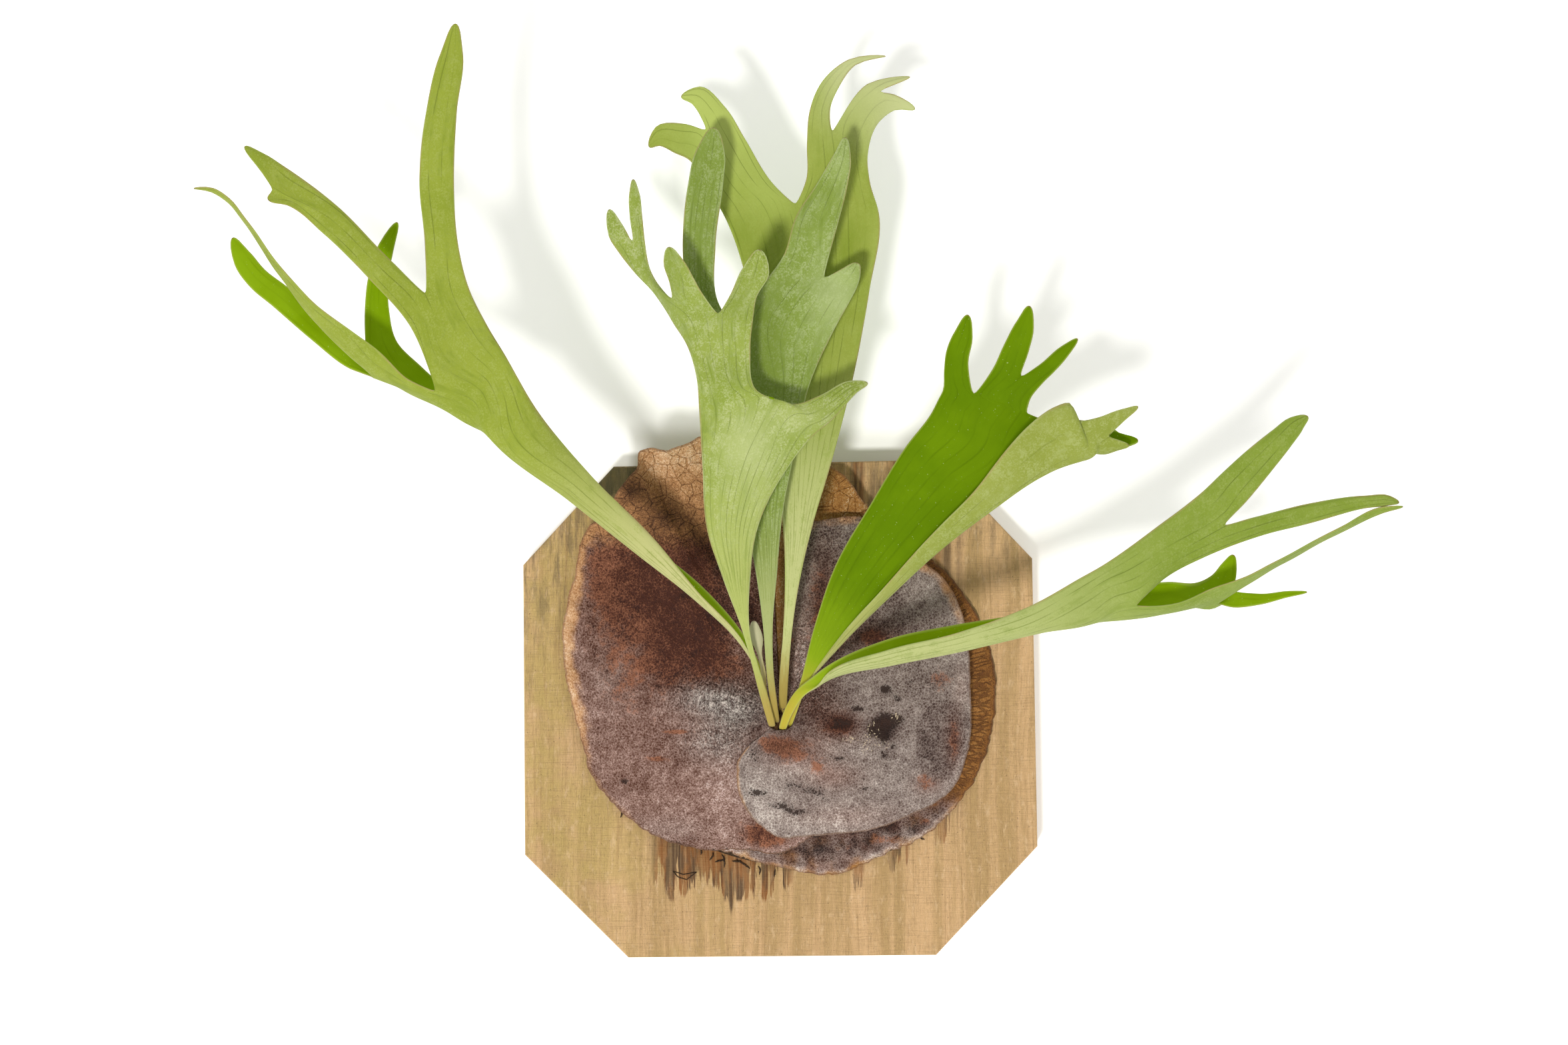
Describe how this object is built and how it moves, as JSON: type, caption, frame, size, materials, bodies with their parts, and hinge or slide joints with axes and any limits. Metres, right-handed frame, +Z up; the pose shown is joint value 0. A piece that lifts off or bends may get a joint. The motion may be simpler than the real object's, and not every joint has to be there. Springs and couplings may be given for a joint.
{
  "type": "mounted staghorn fern",
  "caption": "Staghorn fern on an octagonal wooden board: overlapping brown shield fronds cover its root ball, and forked green fronds fan out from its bud.",
  "frame": {"origin": "centre of the board's back face, in the wall plane", "axes": "+Z up, -Y out from the wall towards the viewer, +X to the viewer's right"},
  "size_m": [0.6736, 0.1835, 0.5322],
  "materials": {
    "board_wood": "sawn pine, planed by saw only, matt, with brown water stains under the plant",
    "root_fibre": "matted roots and moss, rough and matt",
    "rhizome_scale": "scaly stem under dark brown chaff, matt",
    "shield_orange": "dry papery leaf, orange-brown with a decayed grey rim, satin on the ribs",
    "shield_brown": "dry felted leaf, dark red-brown under a grey-lilac bloom, wrinkled and slightly shiny at the rim",
    "shield_violet": "felted leaf with a grey-violet bloom, worn bare to red-brown in patches",
    "frond_pale": "leathery leaf, pale grey-green felt with darker parallel veins, matt",
    "frond_grey": "leathery leaf, blue-grey-green felt, matt",
    "frond_yellow": "leathery leaf, yellow-green, thin felt, satin",
    "frond_green": "leathery leaf, deep green satin upper side and pale felted underside"
  },
  "bodies": {
    "root": {"board": "board_wood", "root_ball": "root_fibre", "rhizome": "rhizome_scale", "shield_old": "shield_orange", "shield_left": "shield_brown", "shield_right": "shield_violet", "frond_left": "frond_pale", "frond_centre_front": "frond_pale", "frond_centre_middle": "frond_grey", "frond_centre_back": "frond_yellow", "frond_right_upper": "frond_green", "frond_right_lower": "frond_green", "frond_young": "frond_pale"}
  },
  "joints": []
}
